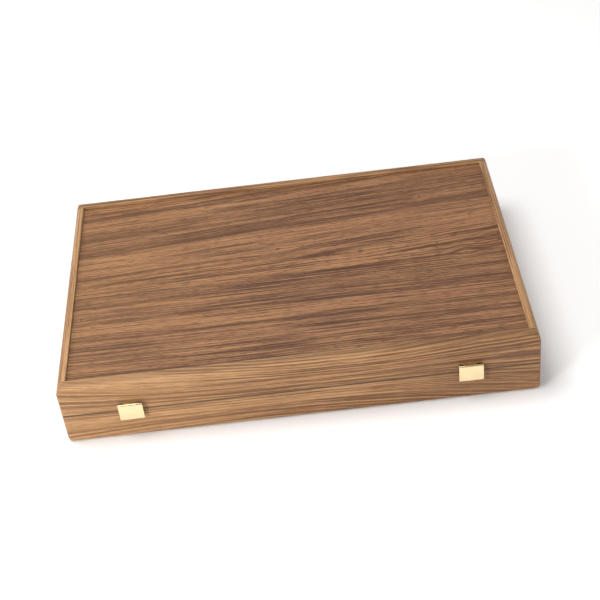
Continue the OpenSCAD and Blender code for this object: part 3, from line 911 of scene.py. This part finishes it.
for half in ("base", "lid"):
    node = half + "_latch_nails"
    shape = bmesh.new()
    for low, high in solids(node):
        radius = (high.x - low.x) / 2
        head = Matrix.Translation(((low.x + high.x) / 2, low.y, (low.z + high.z) / 2))
        outward = head @ Matrix.Rotation(math.radians(90), 4, "X")
        length = high.y - low.y
        profile = [(0, 0), (0.45 * radius, -0.00006), (0.8 * radius, -0.0002), (radius, -0.00044),
                   (radius, -0.0005), (0.45 * radius, -0.0005), (0.45 * radius, 0.001 - length),
                   (0, -length)]
        turned(shape, profile, outward, 24)
    finish_piece(node + ".domed", shape, half, "brass", [hinge_brass], node)
print("screws and nails in place")

# %% [markdown]
# ## Dice
# Dice are moulded with rounded corners, then the pips are drilled and filled with paint. Balls are
# cut out of a rounded cube, and the faces of the hollows get the paint. Opposite faces add to seven.


# %% Plastic
def plastic(name, light, deep, roughness=0.22):
    """Cast plastic with faint cloudiness and fine handling scratches in its gloss."""
    material, tree, shader = new_material(name)
    here = body_point(tree)
    marble = fade(tree, cloud(tree, here, 180.0, 3.0), 0.35, 0.7)
    feed(tree, shader.inputs["Base Color"], blend(tree, marble, light, deep))
    lines = use_group(tree, brushed, Point=here, Stretch=(0.5, 1.0, 0.2), Lines_per_metre=1800.0)
    feed(tree, shader.inputs["Roughness"], calc(tree, "MULTIPLY_ADD", lines["Lines"], 0.2, roughness - 0.1))
    shader.inputs["Coat Weight"].default_value = 0.3
    shader.inputs["Coat Roughness"].default_value = 0.15
    relief(tree, shader, lines["Lines"], 0.000006)
    return material


# %% Mould and drill the dice
PIPS = {
    1: [(0, 0)], 2: [(-1, -1), (1, 1)], 3: [(-1, -1), (0, 0), (1, 1)],
    4: [(-1, -1), (-1, 1), (1, -1), (1, 1)], 5: [(-1, -1), (-1, 1), (0, 0), (1, -1), (1, 1)],
    6: [(-1, -1), (-1, 0), (-1, 1), (1, -1), (1, 0), (1, 1)],
}
FACES = {
    1: Matrix.Identity(4), 6: Matrix.Rotation(math.pi, 4, "X"),
    2: Matrix.Rotation(math.pi / 2, 4, "X"), 5: Matrix.Rotation(-math.pi / 2, 4, "X"),
    3: Matrix.Rotation(math.pi / 2, 4, "Y"), 4: Matrix.Rotation(-math.pi / 2, 4, "Y"),
}


def rounded_cube(shape, centre, size, round_by):
    """Adds a cube with rounded edges and corners."""
    made = bmesh.ops.create_cube(shape, size=size, matrix=Matrix.Translation(centre))
    edges = list({edge for vertex in made["verts"] for edge in vertex.link_edges})
    bmesh.ops.bevel(shape, geom=edges, offset=round_by, segments=5, profile=0.5, affect="EDGES")


def dice(node, body_paint, pip_paint, finish, tops):
    """Both dice of one colour; tops gives the face that lies uppermost on each."""
    shape = bmesh.new()
    drills = bmesh.new()
    centres = []
    for (low, high), top in zip(solids(node), tops):
        centre = (low + high) / 2
        size = high.x - low.x
        rounded_cube(shape, centre, size, 0.13 * size)
        lie = Matrix.Translation(centre) @ FACES[top].inverted()
        for pips, turn in FACES.items():
            for u, v in PIPS[pips]:
                spot = lie @ turn @ Vector((u * 0.26 * size, v * 0.26 * size, 0.53 * size))
                centres.append(spot)
                bmesh.ops.create_uvsphere(drills, u_segments=20, v_segments=12, radius=0.085 * size,
                                          matrix=Matrix.Translation(spot))
    piece = finish_piece(node + ".drilled", shape, "base", finish, [body_paint, pip_paint], node)
    sawn(piece, drills)
    pip_reach = 0.086 * size
    for face in piece.data.polygons:
        corners = [piece.data.vertices[i].co for i in face.vertices]
        face.material_index = int(any(all((c - s).length < pip_reach for c in corners) for s in centres))


ivory = plastic("ivory_plastic", paint(236, 226, 200), paint(224, 210, 178))
brown = plastic("brown_plastic", paint(92, 52, 32), paint(64, 34, 22))
black_fill = plastic("black_fill", paint(24, 22, 22), paint(34, 31, 30), 0.4)
white_fill = plastic("white_fill", paint(236, 232, 222), paint(220, 214, 200), 0.4)
dice("light_dice", ivory, black_fill, "ivory_plastic", (5, 3))
dice("dark_dice", brown, white_fill, "brown_plastic", (6, 2))
print("four dice drilled")

# %% [markdown]
# ## Doubling cube
# The doubling cube keeps the stake: it is larger than the dice and has the numbers 2 to 64 on its
# faces. The numbers are set from Blender's own plain letters, made solid, and laid into the faces.

# %% Make the doubling cube
low, high = solids("doubling_cube")[0]
cube_mid = (low + high) / 2
cube_size = high.x - low.x
shape = bmesh.new()
rounded_cube(shape, cube_mid, cube_size, 0.12 * cube_size)
finish_piece("doubling_cube.rounded", shape, "base", "ivory_plastic", [ivory], "doubling_cube")

numbers = bmesh.new()
for value, turn in zip(("64", "2", "4", "32", "8", "16"), FACES.values()):
    letters = bpy.data.curves.new("number_" + value, "FONT")
    letters.body = value
    letters.size = 0.62 * cube_size
    letters.align_x = "CENTER"
    letters.align_y = "CENTER"
    letters.extrude = 0.00012
    letters.offset = 0.0002
    letters.resolution_u = 6
    holder = bpy.data.objects.new("number_" + value, letters)
    bpy.context.scene.collection.objects.link(holder)
    bpy.context.view_layer.update()
    flat = bpy.data.meshes.new_from_object(holder.evaluated_get(bpy.context.evaluated_depsgraph_get()))
    flat.transform(Matrix.Translation(cube_mid) @ turn @ Matrix.Translation((0, 0, cube_size / 2 - 0.00006)))
    numbers.from_mesh(flat)
    bpy.data.objects.remove(holder)
bmesh.ops.remove_doubles(numbers, verts=numbers.verts, dist=0.0000001)
finish_piece("doubling_cube.numbers", numbers, "base", "ivory_plastic", [black_fill])
print("doubling cube", round(cube_size, 4), "m")
